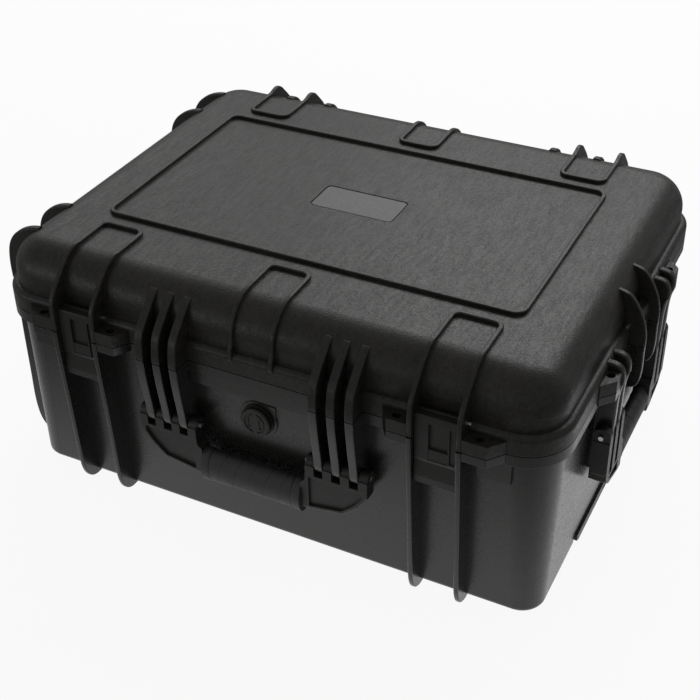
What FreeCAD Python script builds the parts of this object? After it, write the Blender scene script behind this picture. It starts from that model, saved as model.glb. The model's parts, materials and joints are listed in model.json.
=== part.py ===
"""Wheeled hard carrying case for a camera drone: every piece is one solid in its own STEP file.

Frame: millimetres, +X along the long side (the pull handle end), +Y towards the hinges, +Z up.
The origin is on the floor, under the middle of the case. The lid is closed and both handles hang.
"""
import FreeCAD
import Part

import math
import os

V = FreeCAD.Vector
X_AXIS, Y_AXIS, Z_AXIS = V(1, 0, 0), V(0, 1, 0), V(0, 0, 1)

# ---- driving dimensions: the shell ------------------------------------------------------------
TOP = 280.0             # flat top of the lid
BEAD = 4.0              # height of the raised beads on it
PARTING = 208.0         # plane where lid and base meet, and height of the hinge axis
GAP = 0.5               # each shell stops this far from the parting plane
BOTTOM = 3.0            # underside of the base, above the ribs' feet
WALL = 4.0
LID_X, LID_Y = 300.0, 230.0          # half length and half width of the lid
BASE_X, BASE_Y = 295.0, 221.5        # the same for the base at its underside
BASE_TOP_Y = 228.5                   # half width of the base under its rim
CORNER = 42.0                        # plan corner radius
BASE_CORNER = 25.0                   # the same at the underside
LID_ROUND = 36.0                     # radius from the top to the sides
BASE_ROUND = 6.0                     # radius from the underside to the sides
RIM_X, RIM_Y, RIM_TOP = 307.0, 236.5, 230.0
RIM_ROUND = 7.0
SKIRT = 14.0                         # depth of the base's rim
FRONT_SKIRT = 26.0                   # its depth between the handle's blades
FRONT_SKIRT_X = 71.0

# ---- ribs, blades and lugs --------------------------------------------------------------------
RIB = 5.0                            # thickness of the loop ribs
RIB_ROUND = 1.3                      # rounding of their rims
BLADE_ROUND = 1.0
LOOP_IN, LOOP_OUT = 169.0, 222.0     # |x| faces of each side loop
CENTRE_LOOP = 24.8                   # |x| of the centre loop's outer face
LOOP_END = 149.9                     # |y| of the loops' closed ends
LOOP_ROUND = 11.0
BEAD_END = 196.0                     # |y| where a loop's bead meets its ribs
BEAD_ROUND = 1.5
FIN = 6.0
LUG_TOP = 222.0
LUG_BASE = 9.0
LUG_Y = 252.0
LUG_HOLE_R = 4.2
LUG_HOLE_Y = 243.5
LUG_HOLES_X = (156.0, 236.0)
PAD_Y = 232.0                        # face of the pads under the outer lugs
SIDE_LUG_X = 320.0
SIDE_LUG_HOLE = (311.5, 103.5)       # x and |y| of the side lugs' holes

# ---- hinge ------------------------------------------------------------------------------------
HINGE_Y = 250.5
KNUCKLE_R = 7.0
KNUCKLE_CLEAR = 7.6
HINGE_PIN_R = 2.5
RUNNING = 0.05                       # radial clearance of a turning joint
PRESSED = 0.01                       # radial clearance of a pin that doesn't turn
MID_KNUCKLE = (190.0, 199.1)         # |x| of the base's middle knuckle
SIDE_GAP = 0.4                       # between the sides of two knuckles

# ---- latches ----------------------------------------------------------------------------------
LATCH_Y, LATCH_Z = 235.0, 228.5      # pivot of a front latch
LATCH_SIDE_X = 304.8                 # pivot of the side latch
LATCH_BARREL = 4.2
LATCH_DEEP, SIDE_LATCH_DEEP = 11.5, 9.3  # from the pivot to the lever's outer face
LATCH_W = 42.1
SIDE_LATCH_W, SIDE_LATCH_FOOT_W = 43.2, 32.0
LATCH_PIN_R = 2.0
LATCH_FOOT = 154.0                   # lower end of a latch
POCKET = (216.5, 236.0)              # heights of the pocket in the lid's rim for a latch's barrel
POCKET_WALL = 0.6                    # what the rim keeps behind the pocket

# ---- handles ----------------------------------------------------------------------------------
HANDLE_Y, HANDLE_Z = 240.0, 133.0    # pivot of the front handle
HANDLE_PITCH = 9.5                   # from a blade to the knuckle beside it
BLADE = 8.7
BLADES_X = (76.0, 95.0, 114.0)
HANDLE_R, SIDE_HANDLE_R = 8.0, 9.5
HANDLE_PIN_R = 2.5
HANDLE_ROUND = 2.5                   # on the lower edges of a handle's frame
SIDE_HANDLE_X, SIDE_HANDLE_Z = 310.0, 148.0
SIDE_BLADES_Y = (72.0, 91.0)

# ---- wheels -----------------------------------------------------------------------------------
WHEEL_X, WHEEL_Y, WHEEL_Z = -298.4, 157.5, 27.0
WHEEL_R, WHEEL_W = 26.0, 36.0
HUB_R, BUSH_R = 17.0, 6.5
WELL_R, WELL_W = 29.0, 46.0
AXLE_R = 4.0
WHEEL_FINS_Y = (131.0, 184.0)

# ---- pull handle ------------------------------------------------------------------------------
TUBE_Y, TUBE_Z = 60.0, 10.6
TUBE_R, TUBE_WALL = 4.6, 1.0
SLEEVE_R, SLEEVE_BORE = 6.1, 5.1
ROD_R = 2.0
TUBE_X = (-205.0, 279.0)
SLEEVE_X = (-222.0, 244.0)
PLUG = 12.0                          # length of the guide plug on a tube's inner end
CHANNEL_X, CHANNEL_Y, CHANNEL_Z = -232.0, 78.0, 19.0
NOTCH_X, NOTCH_Y, NOTCH_Z = 256.0, 110.0, 17.0
COVER_T = 1.4
GUIDE_LOW = BOTTOM + COVER_T + 0.1   # underside of what the cover holds in the tunnel
SCREW_R, SCREW_HEAD_R, SCREW_HEAD = 1.75, 3.4, 1.5
GRIP_X, GRIP_Y, GRIP_Z = (270.0, 298.0), 106.0, (1.2, 15.9)
BUTTON_Y, BUTTON_Z = 17.0, (4.6, 12.4)
SPRING_R, SPRING_HOLE_R = 2.4, 2.8

# ---- valve ------------------------------------------------------------------------------------
VALVE_Z = 153.0
VALVE_PAD_Y = 228.6                  # face of the pad under the valve
VALVE_R, VALVE_KNOB_R, VALVE_NECK_R, VALVE_STEM_R = 17.8, 16.4, 8.8, 2.7
VALVE_FLANGE, VALVE_OUT = 2.0, 6.8   # thickness of its flange, height of its knob over the pad
VALVE_PAD_R = 21.0
VALVE_WALL = 7.4                     # from the pad's face to the inside of the base

# ---- foam -------------------------------------------------------------------------------------
FOAM_FLOOR, FOAM_SHEET, FOAM_TOP = 25.0, 60.0, 200.0   # underside, top of the bottom sheet, top
FOAM_OVER_WELLS = 62.0
FOAM_LEFT = -264.0                   # left end of the bottom sheet, clear of the wheel wells
FOAM_CLEAR = 1.0
ARMS_FLOOR, POCKET_FLOOR = 95.0, 100.0
BAY_X, BAY_Y = (-150.0, 120.0), 75.0                 # the drone's body
ARMS_LEFT, ARMS_RIGHT, ARMS_Y = (-205.0, -125.0), (95.0, 165.0), 150.0
SIDE_POCKET_X, SIDE_POCKET_Y = (-110.0, 70.0), (100.0, 195.0)   # controller and charger
BATTERY_X, BATTERY_W, BATTERY_PITCH, BATTERIES = (185.0, 268.0), 60.0, 78.0, 5


def box(x0, x1, y0, y1, z0, z1):
    """A block between two corners, given as pairs along each axis."""
    return Part.makeBox(x1 - x0, y1 - y0, z1 - z0, V(x0, y0, z0))


def rod(radius, start, direction, length):
    """A round bar."""
    return Part.makeCylinder(radius, length, start, direction)


def ring(outer, inner, start, direction, length):
    """A round bar with a bore."""
    return rod(outer, start, direction, length).cut(rod(inner, start, direction, length))


def rect_wire(x, y, radius, z):
    """A rounded rectangle about the Z axis."""
    wires = []
    diag = radius * (1 - math.sqrt(0.5))
    corners = ((x, y), (-x, y), (-x, -y), (x, -y))
    for i, (cx, cy) in enumerate(corners):
        sx, sy = math.copysign(1, cx), math.copysign(1, cy)
        on_x = V(cx, cy - sy * radius, z)
        on_y = V(cx - sx * radius, cy, z)
        mid = V(cx - sx * diag, cy - sy * diag, z)
        first, last = (on_x, on_y) if i % 2 == 0 else (on_y, on_x)
        wires.append((first, mid, last))
    edges = []
    for i, (first, mid, last) in enumerate(wires):
        edges.append(Part.Arc(first, mid, last).toShape())
        edges.append(Part.makeLine(last, wires[(i + 1) % 4][0]))
    return Part.Wire(edges)


def rounded_block(x, y, radius, z0, z1):
    """A block with rounded plan corners, centred on the Z axis."""
    return Part.Face(rect_wire(x, y, radius, z0)).extrude(V(0, 0, z1 - z0))


def edges_at(shape, z, tolerance=0.01):
    """The edges that lie in one horizontal plane."""
    found = []
    for edge in shape.Edges:
        b = edge.BoundBox
        if abs(b.ZMin - z) < tolerance and abs(b.ZMax - z) < tolerance:
            found.append(edge)
    return found


def profile(points, curved):
    """A closed wire in the XY plane: the first `curved` points on a smooth curve, the rest joined."""
    vectors = [V(a, b, 0) for a, b in points]
    edges = []
    start = 0
    if curved > 1:
        curve = Part.BSplineCurve()
        curve.interpolate(vectors[:curved])
        edges.append(curve.toShape())
        start = curved - 1
    for i in range(start, len(vectors)):
        edges.append(Part.makeLine(vectors[i], vectors[(i + 1) % len(vectors)]))
    return Part.Wire(edges)


def plate_x(points, x_mid, thick, curved=0, soft=0.0):
    """A plate across X from a profile of (y, z); soft rounds the edges of its curved rim."""
    solid = Part.Face(profile(points, curved)).extrude(V(0, 0, thick))
    if soft:
        solid = soften(solid, soft)
    solid.rotate(V(0, 0, 0), V(1, 1, 1), 120)
    solid.translate(V(x_mid - thick / 2, 0, 0))
    return solid


def plate_y(points, y_mid, thick, curved=0, soft=0.0):
    """A plate across Y from a profile of (x, z)."""
    solid = Part.Face(profile(points, curved)).extrude(V(0, 0, thick))
    if soft:
        solid = soften(solid, soft)
    solid.rotate(V(0, 0, 0), X_AXIS, 90)
    solid.translate(V(0, y_mid + thick / 2, 0))
    return solid


def plate_z(points, z0, z1):
    """A flat plate from a plan outline of (x, y)."""
    return Part.Face(profile(points, 0)).extrude(V(0, 0, z1 - z0)).translated(V(0, 0, z0))


def soften(solid, radius):
    """Rounds both long edges of an extruded profile's curved rim."""
    rims = [e for e in solid.Edges if isinstance(e.Curve, Part.BSplineCurve)]
    return solid.makeFillet(radius, rims)


def mirrored(shape, normal):
    """The shape on the other side of the origin plane with this normal."""
    return shape.mirror(V(0, 0, 0), normal)


def both(shape, normal):
    """The shape and its mirror image."""
    return [shape, mirrored(shape, normal)]


def fuse(shapes):
    """One solid from touching or overlapping shapes."""
    first, rest = shapes[0], shapes[1:]
    return first.fuse(rest).removeSplitter() if rest else first


def write(name, shapes):
    """Writes a node's solids to its STEP file."""
    solids = [s for shape in shapes for s in shape.Solids]
    whole = solids[0] if len(solids) == 1 else Part.makeCompound(solids)
    for solid in solids:
        if not solid.isValid() or solid.Volume <= 0:
            print("BAD SOLID", name)
    whole.exportStep("parts/%s.step" % name)
    print("%-22s %2d solids %10.1f mm3" % (name, len(solids), sum(s.Volume for s in solids)))


# ---- profiles (distance from the middle, height) ----------------------------------------------
LID_LOOP_FRONT = [(195, TOP + BEAD), (209, 283), (219, 277.5), (231, 267), (241, 256.5), (247.5, 249),
                  (250.5, 243.5), (252, 236), (252.5, 222), (252.5, PARTING + GAP)]
LID_LOOP_BACK = [(195, TOP + BEAD), (206, 285), (214, 286.5), (222, 284.5), (232, 276), (248, 258),
                 (254.5, 244), (257.5, 228), (257.5, 217)]
BASE_LOOP = [(253.5, PARTING - GAP), (252.5, 180), (250, 139), (247, 90), (244.5, 40), (242, 20),
             (236, 7), (226, 0)]
LID_BLADE = [(218, 270.4), (225, 266.5), (233, 259.5), (241, 251.5), (249, 243), (253.5, 236), (256, 226),
             (257.3, 216), (257.3, PARTING + GAP)]
BASE_BLADE = [(257.3, PARTING - GAP), (255.5, 185), (252.2, 160), (249.6, 140), (247.2, 129), (240, 124)]
LID_FIN = [(278, 279.3), (290, 277), (303, 271), (314, 261.5), (320.5, 250), (323.5, 236),
           (324.4, 222), (324, PARTING + GAP)]
SIDE_FIN_LID = [(288, 268.5), (292, 267.5), (303, 264), (312, 253.5), (319.5, 238), (322.8, 225),
                (323.5, PARTING + GAP)]
SIDE_FIN_BASE = [(323.7, PARTING - GAP), (323.7, 190), (323, 171), (320, 161), (313, 156.5)]
SIDE_BLADE = [(322, PARTING - GAP), (320, 198), (318.6, 167), (318, 142), (318, 115), (315, 103),
              (308, 99)]
WHEEL_WALL = [(322.5, PARTING - GAP), (324, 140), (324.4, 70), (323.4, 32), (316.5, 11), (302, 3)]


def centre_rib():
    """Profile of a centre rib: a quarter circle that stands on the lid's shoulder, then the front."""
    y, z, radius = LID_Y - LID_ROUND, TOP - LID_ROUND, LID_ROUND + BEAD
    turns = [math.radians(15 * i) for i in range(7)]
    shoulder = [(y + radius * math.sin(a), z + radius * math.cos(a)) for a in turns]
    return shoulder + [(236.8, 234), (237.5, 222)]


def front(points):
    """Turns (distance, height) into (y, height) at the front."""
    return [(-a, b) for a, b in points]


def loop_bead(x0, x1, front_side):
    """The U-shaped bead of a loop on the lid's top, open towards the edge."""
    outer = box(x0, x1, -BEAD_END, -LOOP_END + RIB / 2, TOP - 1, TOP + BEAD)
    inner = box(x0 + RIB, x1 - RIB, -BEAD_END - 1, -LOOP_END - RIB / 2, TOP - 1, TOP + BEAD)
    outer = outer.makeFillet(LOOP_ROUND, upright_edges(outer, -LOOP_END + RIB / 2))
    inner = inner.makeFillet(LOOP_ROUND - RIB, upright_edges(inner, -LOOP_END - RIB / 2))
    bead = outer.cut(inner)
    bead = bead.makeFillet(BEAD_ROUND, [e for e in edges_at(bead, TOP + BEAD)
                                        if e.BoundBox.YMax > -BEAD_END + 0.01])
    return bead if front_side else mirrored(bead, Y_AXIS)


def upright_edges(shape, y):
    """The vertical edges in the plane of one y."""
    return [e for e in shape.Edges if abs(e.BoundBox.YMin - y) < 0.01
            and abs(e.BoundBox.YMax - y) < 0.01 and e.BoundBox.ZLength > 1 and e.BoundBox.XLength < 0.01]


def lug_outlines():
    """Plan outlines of the front lugs on the right: inside and outside of the latch's ribs."""
    wall = -232.0
    inner = [(LOOP_IN, wall), (LOOP_IN, -LUG_Y), (149, -LUG_Y), (138, -236), (138, wall)]
    outer = [(LOOP_OUT, wall), (LOOP_OUT, -LUG_Y), (246, -LUG_Y), (259, -236), (259, wall)]
    return inner, outer


def side_lug_outline():
    """Plan outline of a lug on the right side, beside the side handle's outer blade."""
    wall, start = 302.0, -SIDE_BLADES_Y[-1] - BLADE / 2
    return [(wall, start), (SIDE_LUG_X, start), (SIDE_LUG_X, -110), (308, -124), (wall, -124)]


def lugs(z0, z1):
    """All six padlock lugs between two heights, with no holes yet."""
    inner, outer = lug_outlines()
    solids = []
    for outline in (inner, outer):
        solids += both(plate_z(outline, z0, z1), X_AXIS)
    solids += both(plate_z(side_lug_outline(), z0, z1), Y_AXIS)
    return solids


def lug_holes():
    """The padlock bores through the lugs of lid and base."""
    z0, length = PARTING - 40, 80
    holes = []
    for x in LUG_HOLES_X:
        holes += both(rod(LUG_HOLE_R, V(x, -LUG_HOLE_Y, z0), Z_AXIS, length), X_AXIS)
    x, y = SIDE_LUG_HOLE
    holes += both(rod(LUG_HOLE_R, V(x, -y, z0), Z_AXIS, length), Y_AXIS)
    return holes


def hinge_spans():
    """|x| spans of the base's and the lid's knuckles at each hinge."""
    base = [(LOOP_IN, LOOP_IN + RIB), MID_KNUCKLE, (LOOP_OUT - RIB, LOOP_OUT)]
    lid = [(base[0][1] + SIDE_GAP, base[1][0] - SIDE_GAP), (base[1][1] + SIDE_GAP, base[2][0] - SIDE_GAP)]
    return base, lid


def hinge_rods(spans, radius, spare=0.0):
    """Round bars on the hinge axis over some spans, at both hinges."""
    bars = []
    for x0, x1 in spans:
        bar = rod(radius, V(x0 - spare, HINGE_Y, PARTING), X_AXIS, x1 - x0 + 2 * spare)
        bars += both(bar, X_AXIS)
    return bars


def lid_body():
    """The plain outer form of the lid, with its rim."""
    body = rounded_block(LID_X, LID_Y, CORNER, PARTING + GAP, TOP)
    body = body.makeFillet(LID_ROUND, edges_at(body, TOP))
    rim = rounded_block(RIM_X, RIM_Y, CORNER + 6, PARTING + GAP, RIM_TOP)
    rim = rim.makeFillet(RIM_ROUND - 0.4, edges_at(rim, RIM_TOP))
    return body.fuse(rim)


def lid_beads():
    """The raised beads on the lid's top: five loops and the big frame."""
    solids = []
    for front_side in (True, False):
        solids.append(loop_bead(-CENTRE_LOOP, CENTRE_LOOP, front_side))
        solids += both(loop_bead(LOOP_IN, LOOP_OUT, front_side), X_AXIS)
    outer = rounded_block(232.2, 131.6, 13, TOP - 1, TOP + BEAD)
    inner = rounded_block(227.8, 127.2, 9, TOP - 1, TOP + BEAD)
    bead = outer.cut(inner)
    solids.append(bead.makeFillet(1.2, edges_at(bead, TOP + BEAD)))
    return solids


def lid_ribs():
    """Loop ribs, centre ribs and stubs on the lid."""
    inside = [(225, PARTING + GAP), (192, 262)]
    low = [(HINGE_Y, PARTING + GAP + 1)]
    solids = []
    for x in (LOOP_IN + RIB / 2, LOOP_OUT - RIB / 2):
        solids += both(plate_x(front(LID_LOOP_FRONT + inside), x, RIB, len(LID_LOOP_FRONT), RIB_ROUND), X_AXIS)
        solids += both(plate_x(LID_LOOP_BACK + low + inside, x, RIB, len(LID_LOOP_BACK), RIB_ROUND), X_AXIS)
    centre = centre_rib()
    for x in (-CENTRE_LOOP + RIB / 2, CENTRE_LOOP - RIB / 2):
        rib = plate_x(front(centre + inside), x, RIB, len(centre), RIB_ROUND)
        solids += both(rib, Y_AXIS)
    stub = [(205, 280), (214, 278.5), (225, 270), (234, 254), (237, 236), (236, 224)]
    for x in (144.0, (LOOP_IN + LOOP_OUT) / 2):
        solids += both(plate_x(stub + inside, x, 9.0, len(stub), 2.0), X_AXIS)
    return solids


def lid_blade_solids():
    """The blades over the front handle and the caps over the side handle's blades."""
    inside = [(225, PARTING + GAP), (192, 262)]
    solids = []
    for x in BLADES_X:
        solids += both(plate_x(front(LID_BLADE + inside), x, BLADE, len(LID_BLADE), BLADE_ROUND), X_AXIS)
    cap = [(300, 229), (310, 229), (318, 226), (322, 218), (322.5, PARTING + GAP), (296, PARTING + GAP)]
    for y in SIDE_BLADES_Y:
        solids += both(plate_y(cap, y, BLADE, 5, 2.0), Y_AXIS)
    return solids


def side_fin_mid():
    """|y| of the middle of the fins beside the side latch."""
    return SIDE_LATCH_W / 2 + SIDE_GAP + RIB / 2


def lid_fin_solids():
    """The fins above the wheels and beside the side latch."""
    solids = []
    inner = [(292, PARTING + GAP), (275, 262)]
    for y in WHEEL_FINS_Y:
        fin = plate_y([(-a, b) for a, b in LID_FIN + inner], y, FIN + 2, len(LID_FIN), 2.0)
        solids += both(fin, Y_AXIS)
    fin = plate_y(SIDE_FIN_LID + [(292, PARTING + GAP), (280, 262)], side_fin_mid(), RIB,
                  len(SIDE_FIN_LID), 0.8)
    return solids + both(fin, Y_AXIS)


def lid_cavity():
    """The hollow of the lid and the groove for its gasket."""
    hollow = rounded_block(LID_X - WALL, LID_Y - WALL, CORNER - WALL, PARTING - 1, TOP - WALL)
    hollow = hollow.makeFillet(LID_ROUND - WALL, edges_at(hollow, TOP - WALL))
    return hollow


def gasket_ring(out, width, z0, z1):
    """A rounded rectangular ring along the rim; out is its distance inside the rim's face."""
    x, y = RIM_X - out, RIM_Y - out
    outer = rounded_block(x, y, CORNER + 6 - out, z0, z1)
    return outer.cut(rounded_block(x - width, y - width, CORNER + 6 - out - width, z0 - 1, z1 + 1))


def latch_pockets():
    """Pockets in the lid's rim for the barrels of the three latches."""
    z0, z1 = POCKET
    pocket = box(LOOP_IN + RIB, LOOP_OUT - RIB, -RIM_Y - 1, -LID_Y - POCKET_WALL, z0, z1)
    half = SIDE_LATCH_W / 2 + SIDE_GAP
    side = box(LID_X + 0.4, RIM_X + 1, -half, half, z0, z1)
    return both(pocket, X_AXIS) + [side]


def lid_shell():
    """The lid's moulding with its ribs, without its knuckles, fins, blades and lugs."""
    base_spans, lid_spans = hinge_spans()
    solid = fuse([lid_body()] + lid_beads() + lid_ribs())
    cuts = [lid_cavity(), gasket_ring(1.6, 5.0, PARTING - 1, PARTING + 5.4)] + latch_pockets()
    cuts += hinge_rods(base_spans, KNUCKLE_CLEAR, SIDE_GAP)
    cuts += hinge_rods(lid_spans, HINGE_PIN_R + RUNNING, 1.0)
    cuts += latch_pin_bars(LATCH_PIN_R + PRESSED)
    cuts.append(rounded_block(48.0, 23.5, 5.5, TOP - 1.4, TOP + 1))
    return solid.cut(cuts).removeSplitter()


def trimmed(solids, cuts):
    """Each solid cut to its neighbours' faces, without the slivers that a cut can leave."""
    found = []
    for solid in solids:
        left = sorted(solid.cut(cuts).removeSplitter().Solids, key=lambda s: -s.Volume)
        found.append(left[0])
    return found


def lid_outside():
    """What the lid's knuckles, fins, blades and lugs are cut to."""
    return [lid_body()] + lid_beads() + lid_ribs()


def lid_knuckles():
    """The lid's knuckles of the hinges, on their arms."""
    web = [(HINGE_Y, PARTING + GAP), (HINGE_Y + 1, PARTING + KNUCKLE_R - 0.5), (243, 222), (228, 226),
           (228, PARTING + GAP)]
    arms = []
    base_spans, lid_spans = hinge_spans()
    for x0, x1 in lid_spans:
        arm = fuse([plate_x(web, (x0 + x1) / 2, x1 - x0),
                    rod(KNUCKLE_R, V(x0, HINGE_Y, PARTING), X_AXIS, x1 - x0)])
        arms += both(arm, X_AXIS)
    cuts = lid_outside() + hinge_rods(base_spans, KNUCKLE_CLEAR, SIDE_GAP)
    return trimmed(arms, cuts + hinge_rods(lid_spans, HINGE_PIN_R + RUNNING, 1.0))


def lid_lugs():
    """The padlock lugs of the lid."""
    return trimmed(lugs(PARTING + GAP, LUG_TOP), lid_outside() + lug_holes())


def latch_pin_bars(radius):
    """The latch pivots, through the ribs on each side of a latch."""
    reach = 2.5
    bars = both(rod(radius, V(LOOP_IN - reach, -LATCH_Y, LATCH_Z), X_AXIS,
                    LOOP_OUT - LOOP_IN + 2 * reach), X_AXIS)
    half = SIDE_LATCH_W / 2 + SIDE_GAP + RIB + reach
    bars.append(rod(radius, V(LATCH_SIDE_X, -half, LATCH_Z), Y_AXIS, 2 * half))
    return bars


def base_body():
    """The plain outer form of the base, with its rim and the apron behind the front handle."""
    low = rect_wire(BASE_X, BASE_Y, BASE_CORNER, BOTTOM)
    high = rect_wire(LID_X, BASE_TOP_Y, CORNER, PARTING - GAP)
    body = Part.makeLoft([low, high], True, True)
    body = body.makeFillet(BASE_ROUND, edges_at(body, BOTTOM))
    skirt = rounded_block(RIM_X, RIM_Y, CORNER + 6, PARTING - SKIRT, PARTING - GAP)
    skirt = skirt.makeChamfer(1.5, edges_at(skirt, PARTING - SKIRT))
    apron = box(-FRONT_SKIRT_X, FRONT_SKIRT_X, -RIM_Y + 1, -222, PARTING - FRONT_SKIRT, PARTING - GAP)
    return body.fuse([skirt, apron])


def base_rib_solids():
    """Loop ribs with feet, and the back ones' knuckles, not yet cut to the base's surface."""
    inside = [(207, 0), (207, 30), (220, 60), (224, PARTING - GAP)]
    ears, solids = hinge_spans()[0], []
    for x, ear in ((LOOP_IN + RIB / 2, ears[0]), (LOOP_OUT - RIB / 2, ears[2])):
        rib = plate_x(front(BASE_LOOP + inside), x, RIB, len(BASE_LOOP), RIB_ROUND)
        knuckle = rod(KNUCKLE_R, V(ear[0], HINGE_Y, PARTING), X_AXIS, ear[1] - ear[0])
        solids += both(rib, X_AXIS) + both(fuse([mirrored(rib, Y_AXIS), knuckle]), X_AXIS)
    x0, x1 = MID_KNUCKLE
    web = [(HINGE_Y, PARTING - GAP), (HINGE_Y + 1, PARTING - KNUCKLE_R + 0.5), (243, 192), (224, 186),
           (224, PARTING - GAP)]
    knuckle = rod(KNUCKLE_R, V(x0, HINGE_Y, PARTING), X_AXIS, x1 - x0)
    return solids + both(fuse([plate_x(web, (x0 + x1) / 2, x1 - x0), knuckle]), X_AXIS)


def base_ribs():
    """The ribs of the base, with its knuckles of the hinges and the pads beside the outer lugs."""
    base_spans, lid_spans = hinge_spans()
    pads = both(box(230, 263, -PAD_Y, -224, 169, PARTING - GAP - LUG_BASE), X_AXIS)
    cuts = [base_body()] + hinge_rods(lid_spans, KNUCKLE_CLEAR, 0)
    cuts += hinge_rods(base_spans, HINGE_PIN_R + PRESSED, 1.0)
    return trimmed(base_rib_solids() + pads, cuts)


def base_blades():
    """The blades that carry the front handle and the side handle."""
    foot = [(225, 119), (225, PARTING - GAP)]
    at_front = [plate_x(front(BASE_BLADE + foot), x, BLADE, len(BASE_BLADE), BLADE_ROUND) for x in BLADES_X]
    foot = [(292, 97), (292, PARTING - GAP)]
    at_side = [plate_y(SIDE_BLADE + foot, y, BLADE, len(SIDE_BLADE), 2.0) for y in SIDE_BLADES_Y]
    cuts = [base_body()] + handle_pin_bars(HANDLE_PIN_R + PRESSED, 6.0)
    cuts += side_handle_pin_bars(HANDLE_PIN_R + PRESSED, 6.0)
    solids = []
    for blades, normal in ((at_front, X_AXIS), (at_side, Y_AXIS)):
        for blade in trimmed(blades, cuts):
            solids += both(blade, normal)
    return solids


def base_fins():
    """The walls that hold the wheels' axles, and the fins beside the side latch."""
    solids = []
    for y in WHEEL_FINS_Y:
        inner = [(290, 6), (290, 150), (295, PARTING - GAP)]
        wall = plate_y([(-a, b) for a, b in WHEEL_WALL + inner], y, FIN, len(WHEEL_WALL), 1.5)
        solids += both(wall, Y_AXIS)
    fin = plate_y(SIDE_FIN_BASE + [(296, 152), (296, PARTING - GAP)], side_fin_mid(), RIB,
                  len(SIDE_FIN_BASE), 0.8)
    return trimmed(solids + both(fin, Y_AXIS), [base_body()] + axle_bars(AXLE_R + PRESSED))


def base_lugs():
    """The padlock lugs of the base."""
    solids = lugs(PARTING - GAP - LUG_BASE, PARTING - GAP)
    return trimmed(solids, [base_body()] + lug_holes())


def wheel_wells(radius, width, top):
    """The space for each wheel in the base's lower left corners."""
    wells = []
    for sign in (-1, 1):
        y0, y1 = sign * WHEEL_Y - width / 2, sign * WHEEL_Y + width / 2
        wells.append(rod(radius, V(WHEEL_X, y0, WHEEL_Z), Y_AXIS, width))
        wells.append(box(-350, WHEEL_X, y0, y1, -1, WHEEL_Z + top))
        wells.append(box(-350, WHEEL_X + radius, y0, y1, -1, WHEEL_Z))
    return wells


def base_half(z):
    """Half length, half width and corner radius of the base's outside at a height."""
    share = (z - BOTTOM) / (PARTING - GAP - BOTTOM)
    return (BASE_X + (LID_X - BASE_X) * share, BASE_Y + (BASE_TOP_Y - BASE_Y) * share,
            BASE_CORNER + (CORNER - BASE_CORNER) * share)


def base_block(inset, z0, z1):
    """A block between two heights whose sides stay an even distance inside the base's."""
    wires = []
    for z in (z0, z1):
        x, y, radius = base_half(z)
        wires.append(rect_wire(x - inset, y - inset, radius - inset, z))
    return Part.makeLoft(wires, True, True)


def base_cavity():
    """The hollow of the base, less the wheel wells and the pull handle's tunnel."""
    hollow = base_block(WALL, BOTTOM + WALL, PARTING + 1)
    hollow = hollow.makeFillet(BASE_ROUND - WALL, edges_at(hollow, BOTTOM + WALL))
    keep = wheel_wells(WELL_R + WALL, WELL_W + 2 * WALL, WELL_R + WALL)
    keep.append(box(CHANNEL_X - WALL, 330, -CHANNEL_Y - WALL, CHANNEL_Y + WALL, 0, CHANNEL_Z + WALL))
    keep.append(box(NOTCH_X - WALL, 330, -NOTCH_Y - WALL, NOTCH_Y + WALL, 0, NOTCH_Z + WALL))
    return hollow.cut(keep)


def base_shell():
    """The base's moulding without ribs, fins, blades and lugs: tunnel, wells and sealing tongue."""
    tongue = gasket_ring(2.6, 3.0, PARTING - 3, PARTING + 1.6)
    pad = rod(VALVE_PAD_R, V(0, -VALVE_PAD_Y, VALVE_Z), Y_AXIS, 4)
    tab = box(4, 20, -VALVE_PAD_Y, -VALVE_PAD_Y + 4, VALVE_Z + 4, VALVE_Z + 20)
    solid = fuse([base_body(), tongue, pad, tab])
    cuts = [base_cavity()] + wheel_wells(WELL_R, WELL_W, WELL_R) + axle_reliefs()
    cuts.append(box(CHANNEL_X, NOTCH_X, -CHANNEL_Y, CHANNEL_Y, -1, CHANNEL_Z))
    cuts.append(box(NOTCH_X - 0.1, 330, -NOTCH_Y, NOTCH_Y, -1, NOTCH_Z))
    cuts += handle_pin_bars(HANDLE_PIN_R + PRESSED, 6.0)
    cuts += side_handle_pin_bars(HANDLE_PIN_R + PRESSED, 6.0)
    cuts.append(rod(9.0, V(0, -240, VALVE_Z), Y_AXIS, 30))
    cuts += screw_holes()
    return solid.cut(cuts).removeSplitter()


def handle_pin_bars(radius, reach):
    """The front handle's pivots; reach is what they have beyond the outer knuckles."""
    x0, x1 = BLADES_X[0] - 1.5 * HANDLE_PITCH - reach, BLADES_X[-1] + 1.5 * HANDLE_PITCH
    return both(rod(radius, V(x0, -HANDLE_Y, HANDLE_Z), X_AXIS, x1 - x0), X_AXIS)


def side_handle_pin_bars(radius, reach):
    """The side handle's pivots."""
    y0, y1 = SIDE_BLADES_Y[0] - 0.5 * HANDLE_PITCH, SIDE_BLADES_Y[-1] + 1.5 * HANDLE_PITCH + reach
    return both(rod(radius, V(SIDE_HANDLE_X, y0, SIDE_HANDLE_Z), Y_AXIS, y1 - y0), Y_AXIS)


def axle_reliefs():
    """Flats in the base's wall beside the axles."""
    half, inner = AXLE_R + 0.5, WHEEL_X + AXLE_R + 0.5
    y0, y1 = WHEEL_FINS_Y[0] - FIN / 2, WHEEL_FINS_Y[1] + FIN / 2 + 3
    return both(box(-350, inner, y0, y1, WHEEL_Z - half, WHEEL_Z + half), Y_AXIS)


def axle_bars(radius):
    """The wheels' axles."""
    y0 = WHEEL_FINS_Y[0] + 0.5
    y1 = WHEEL_FINS_Y[1] + FIN / 2 + 2
    return both(rod(radius, V(WHEEL_X, y0, WHEEL_Z), Y_AXIS, y1 - y0), Y_AXIS)


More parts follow.
